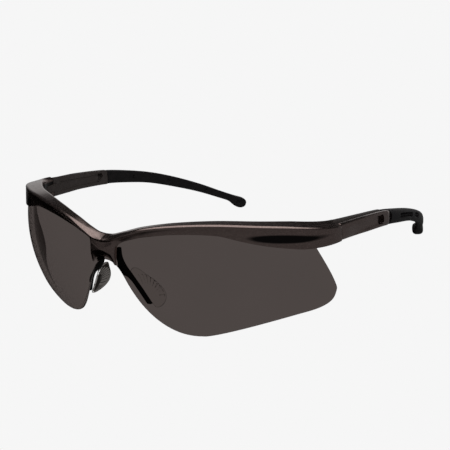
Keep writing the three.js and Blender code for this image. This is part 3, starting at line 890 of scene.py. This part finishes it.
def sleeve_shape(y, u, v, width, centre):
    """Grooves on the outer face and dimples on the inner face."""
    share = u / width + 0.5
    if share > 0.7:
        outer = ease(share, 0.7, 0.85)
        off = abs(v - 0.2)
        for start, end in GROOVES:
            along = ease(y, start, start + 1.0) * (1 - ease(y, end - 1.0, end))
            u -= GROOVE_DEPTH * along * (1 - ease(off, 0.7, 1.0)) * outer
            u += GROOVE_RIB * along * (1 - ease(off, 0.15, 0.5)) * outer
    if share < 0.3:
        inner = 1 - ease(share, 0.15, 0.3)
        for middle in DIMPLES:
            u += DIMPLE_DEPTH * (1 - ease(math.hypot(y - middle, v), 0.45, 0.85)) * inner
    return u, v


def cover_pocket():
    """Cutter for the room that the cover's rear end takes from the sleeve."""
    bottom, top, front = 27.5, 36.5, 1.0
    low_edge, high_edge = [], []
    for y in spread(SLEEVE_START - 1.0, COVER_REAR_Y, 24):
        low, high = cover_limits(y)
        low_edge.append((y + 0.28, max(low - 0.25, bottom)))
        high_edge.append((y + 0.28, min(high + GAP, top)))
    outline = low_edge + high_edge[::-1] + [(front, top), (front, bottom)]
    centre, _, _, width = temple_at(5.0)
    floor = centre.x + (COVER_SHARE - 0.06 - 0.5) * width
    return hole_cutter(outline, floor, floor + 9)


def make_sleeve():
    """The rubber tip, which ends in a round bulb and lies flat on the floor."""
    section = (0.0, 1.0, 0.62, sleeve_shape)
    tip = TEMPLE_Y[-1]
    bulb = 3.4
    rings = [temple_ring(SLEEVE_START, *section, trim=0.25)]
    rings += [temple_ring(y, *section) for y in spread(SLEEVE_START + 0.15, tip - bulb, 300)]
    for t in spread(0.0, 1.0, 16)[1:]:
        y = tip - bulb + bulb * math.sin(t * math.pi / 2)
        share = math.cos(t * math.pi / 2) ** 0.8
        centre = temple_at(y)[0]
        rings.append([centre.lerp(p, share) for p in temple_ring(y, 0.0, 1.0, 0.7)])
    for ring in rings:
        for point in ring:
            point.z = max(point.z, 0.0)
    sleeve = loft("left_sleeve_rubber", rings)
    combine(sleeve, cover_pocket(), "DIFFERENCE")
    crisp(sleeve, 40)
    dress(sleeve, RUBBER)
    return sleeve


def make_screw():
    """Hinge screw with its countersunk head below and a cross slot in the head."""
    half = TONGUE_HEIGHT / 2 + GAP
    bottom, top = HINGE_Z - half - 2.1, HINGE_Z + half + 1.1
    profile = [
        (1.25, bottom), (1.35, bottom + 0.1), (1.35, bottom + 0.7), (0.7, bottom + 1.1),
        (0.7, top - 0.15), (0.55, top),
    ]
    rings = [[Vector((HINGE_X + u, HINGE_Y + v, z)) for u, v in circle(radius)] for radius, z in profile]
    screw = loft("left_screw", rings)
    long, short = 0.85, 0.16
    heights = [bottom - 1, bottom + 0.5]
    for x, y in ((short, long), (long, short)):
        outline = [(-x, -y), (x, -y), (x, y), (-x, y)]
        slot = extrude("slot", outline, lambda u, v, w: (HINGE_X + u, HINGE_Y + v, w), heights)
        combine(screw, slot, "DIFFERENCE")
    crisp(screw)
    dress(screw, STEEL)
    return screw


# ---- Nose bracket and pads -----------------------------------------------------------------------

def behind_lens(x, z, by):
    """y of a place behind the lens, clear of it by a gap and a bit more."""
    return lens_front_y(x, z) + LENS_THICKNESS + GAP + by


def bar_through(name, stations, sides=28):
    """Round-cornered bar through stations (x, y, z, width, depth), smooth along its length."""
    knots = list(range(len(stations)))
    rings = []
    for at in spread(0, len(stations) - 1, 60):
        x, y, z, width, depth = (smooth(knots, [s[k] for s in stations], at) for k in range(5))
        ring = []
        for turn in spread(0, 2 * math.pi, sides)[:-1]:
            u = width / 2 * squarer(math.cos(turn), 0.75)
            v = depth / 2 * squarer(math.sin(turn), 0.75)
            ring.append(Vector((x + u, y + v, z)))
        rings.append(ring)
    return loft(name, rings)


def make_bracket():
    """Two legs and the strap that joins them, run together into one body."""
    stations = [(x, behind_lens(x, z, 1.0), z, width, BRACKET_DEPTH) for x, z, width in BRACKET_LEG]
    leg = bar_through("nose_bracket_shell", stations)
    reach, foot, top = 4.6, 29.8, 32.4
    y = behind_lens(reach, 31, 0.2)
    corners = [
        (-reach, foot, 0.3), (0, foot + 0.7, 6), (reach, foot, 0.3),
        (reach, top, 0.3), (-reach, top, 0.3),
    ]
    strap = extrude("strap", rounded(corners), lambda u, v, w: (u, w, v), [y, y + BRACKET_DEPTH])
    join(leg, [mirror(leg, "other leg"), strap])
    remesh = leg.modifiers.new("one body", "REMESH")
    remesh.mode = "VOXEL"
    remesh.voxel_size = 0.15 * MM
    smoother = leg.modifiers.new("soften", "SMOOTH")
    smoother.iterations = 4
    bake_modifiers(leg)
    shade_smooth(leg)
    dress(leg, BLACK)
    return leg


# The leaf of the pad, u to the back and v up the leg: its middle, and half its thickness there and at
# the rim.
PAD_MIDDLE = Vector((4.8, 6.2))
PAD_HALF_MIDDLE, PAD_HALF_RIM = 0.9, 0.35

# The fan of ribs near its rear edge: centre, first angle and step in degrees, number, reach and height.
RIB_CENTRE = Vector((0.6, 4.2))
RIB_START, RIB_STEP, RIB_COUNT = -30.0, 12.5, 9
RIB_INNER, RIB_OUTER = 5.0, 8.9
RIB_HEIGHT = 0.4


def pad_outline():
    """The leaf's outline, from its lower front corner round the back and up."""
    runs = [
        [(1.4, -0.8), (2.9, -2.8), (10.1, -3.0), (10.1, 1.8)],
        [(10.1, 1.8), (10.1, 6.1), (7.7, 9.7), (6.5, 13.3)],
        [(6.5, 13.3), (5.7, 15.8), (3.3, 15.9), (2.0, 15.0)],
        [(2.0, 15.0), (1.4, 14.5), (1.4, 13.4)],
        [(1.4, 13.4), (1.4, 8.0), (1.4, 4.0), (1.4, -0.8)],
    ]
    return [p for run in runs for p in bezier(run, 24)[:-1]]


def pad_ribs(u, v):
    """Height of the ribs at a place on the leaf."""
    arm = Vector((u, v)) - RIB_CENTRE
    turn = (math.degrees(math.atan2(arm.y, arm.x)) - RIB_START) / RIB_STEP
    if turn < -0.5 or turn > RIB_COUNT - 0.5:
        return 0.0
    reach = ease(arm.length, RIB_INNER, RIB_INNER + 0.5)
    reach *= 1 - ease(arm.length, RIB_OUTER - 0.5, RIB_OUTER)
    return RIB_HEIGHT * reach * (1 - ease(abs(turn - round(turn)), 0.1, 0.26))


def make_pad():
    """The leaf, thickest at its middle, with a round rim and ribs on the side that faces the nose."""
    outline = pad_outline()
    up = PAD_UP.normalized()
    back = (Vector((0, 1, 0)) - up * up.y).normalized()
    across = back.cross(up)

    def face(side):
        """Rings of one side of the leaf, from the rim to the middle."""
        rings = []
        for share in spread(1.0, 0.0, 44)[:-1]:
            rim = max((share - 0.95) / 0.05, 0.0)
            half = mix(PAD_HALF_MIDDLE, PAD_HALF_RIM, share) * math.sqrt(max(1 - rim ** 2, 0.0))
            ring = []
            for p in outline:
                u, v = PAD_MIDDLE.lerp(p, share)
                height = half + (pad_ribs(u, v) if side > 0 else 0.0)
                ring.append(PAD_FOOT + back * u + up * v + across * side * height)
            rings.append(ring)
        return rings

    pad = loft("left_pad_leaf", face(-1)[::-1] + face(1))
    crisp(pad, 60)
    dress(pad, PAD)
    return pad


# ---- Putting the pieces on the frame -------------------------------------------------------------

brow = make_brow()
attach(brow, "front")
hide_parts("brow_frame")

lens = make_lens()
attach(lens, "front")
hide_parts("lens")

bracket = make_bracket()
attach(bracket, "front")
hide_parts("nose_bracket")

PAIRS = [
    (make_pad, "pad_leaf", "front", "nose_pad", "pad_smoke"),
    (make_screw, "screw", "front", "hinge_screw", "hinge_steel"),
    (make_arm, "arm_shell", "temple", "temple_arm", "temple_satin"),
    (make_cover, "cover_shell", "temple", "temple_cover", "frame_paint"),
    (make_sleeve, "sleeve_rubber", "temple", "temple_sleeve", "sleeve_rubber"),
]
for make, label, body, node, slot in PAIRS:
    left = make()
    right = mirror(left, "right_" + label)
    for side, piece in (("left", left), ("right", right)):
        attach(piece, body if body == "front" else f"{side}_{body}")
        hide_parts(f"{side}_{node}")
for name in ("left_core_wire", "right_core_wire"):
    dress(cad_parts[name], STEEL)

# ---- Floor, light and camera ---------------------------------------------------------------------

# The brightness of the floor and of all that the eye sees round it.
PALE = 0.922

# What gloss mirrors: the brightness of a softbox above, of a backdrop behind and of the room around.
SOFTBOX = 1.1
BACKDROP = 0.35
ROOM = 0.12


def emission_material(name, colour):
    """A surface that shows one even colour."""
    material = bpy.data.materials.new(name)
    material.use_nodes = True
    tree = material.node_tree
    tree.nodes.clear()
    glow = tree.nodes.new("ShaderNodeEmission")
    glow.inputs["Color"].default_value = (*colour, 1.0)
    output = tree.nodes.new("ShaderNodeOutputMaterial")
    tree.links.new(glow.outputs["Emission"], output.inputs["Surface"])
    return material


def make_floor():
    """A wide floor just below the object. It gives no light to the object and isn't mirrored in it."""
    size, z = 3000.0, -0.02
    corners = [(-size, -size, z), (size, -size, z), (size, size, z), (-size, size, z)]
    mesh = bpy.data.meshes.new("floor")
    mesh.from_pydata([Vector(c) * MM for c in corners], [], [(0, 1, 2, 3)])
    mesh.materials.append(emission_material("pale floor", grey(PALE)))
    floor = add_object("floor", mesh)
    floor.visible_glossy = False
    floor.visible_diffuse = False


def make_world():
    """Pale all round for the eye. What gloss mirrors is set apart, direction by direction."""
    world = bpy.data.worlds.new("studio")
    world.use_nodes = True
    tree = world.node_tree
    direction = tree.nodes.new("ShaderNodeSeparateXYZ")
    tree.links.new(tree.nodes.new("ShaderNodeTexCoord").outputs["Generated"], direction.inputs["Vector"])
    x, y, z = (direction.outputs[axis] for axis in "XYZ")

    def change(value, start, end, low, high):
        """From low at start to high at end, smoothly."""
        node = tree.nodes.new("ShaderNodeMapRange")
        node.interpolation_type = "SMOOTHSTEP"
        for name, number in (("From Min", start), ("From Max", end), ("To Min", low), ("To Max", high)):
            node.inputs[name].default_value = number
        tree.links.new(value, node.inputs["Value"])
        return node.outputs["Result"]

    def product(*factors):
        """Several outputs multiplied together."""
        result = factors[0]
        for factor in factors[1:]:
            result = maths(tree, "MULTIPLY", result, factor)
        return result

    softbox = change(z, 0.70, 0.86, 0.0, SOFTBOX)
    backdrop = product(
        change(y, 0.50, 0.68, 0.0, BACKDROP),
        change(z, 0.10, 0.28, 1.0, 0.0),
        change(x, -0.1, 0.3, 1.0, 0.0),
        change(z, -0.35, -0.15, 0.0, 1.0),
    )
    sideways = maths(tree, "ADD", x, maths(tree, "MULTIPLY", z, 0.6))
    room = product(change(sideways, -0.85, -0.6, 0.0, ROOM), change(z, 0.12, 0.40, 1.0, 0.12))
    mirrored = maths(tree, "ADD", maths(tree, "ADD", softbox, backdrop), room)

    # Rays that pass through clear plastic count as glossy too, so those are taken off. Of a mix node, 0 is
    # the factor, and 2 and 3 are the numbers it goes between.
    path = tree.nodes.new("ShaderNodeLightPath")
    bounced = maths(tree, "SUBTRACT", path.outputs["Is Glossy Ray"], path.outputs["Is Transmission Ray"])
    gloss = tree.nodes.new("ShaderNodeMix")
    gloss.data_type = "FLOAT"
    tree.links.new(bounced, gloss.inputs[0])
    gloss.inputs[2].default_value = PALE
    tree.links.new(mirrored, gloss.inputs[3])
    tree.links.new(gloss.outputs[0], tree.nodes["Background"].inputs["Color"])
    bpy.context.scene.world = world
    # Light that has come through the dark lens still counts when it meets the pad behind it.
    bpy.context.scene.cycles.min_light_bounces = 6


def make_camera():
    """The photograph's view: where the camera stands, which way is back from it, and which way is up."""
    place = Vector((278.751, -394.659, 169.718)) * MM
    back = Vector((0.5536, -0.77846, 0.29584)).normalized()
    up = Vector((-0.1343, 0.26715, 0.95425))
    right = up.cross(back).normalized()
    up = back.cross(right).normalized()
    data = bpy.data.cameras.new("camera")
    data.sensor_width = 36.0
    data.lens = 97.645
    camera = add_object("camera", data)
    turn = Matrix((right, up, back)).transposed()
    camera.matrix_world = Matrix.Translation(place) @ turn.to_4x4()
    bpy.context.scene.camera = camera


make_floor()
make_world()
make_camera()
bpy.context.scene.view_settings.view_transform = "Standard"
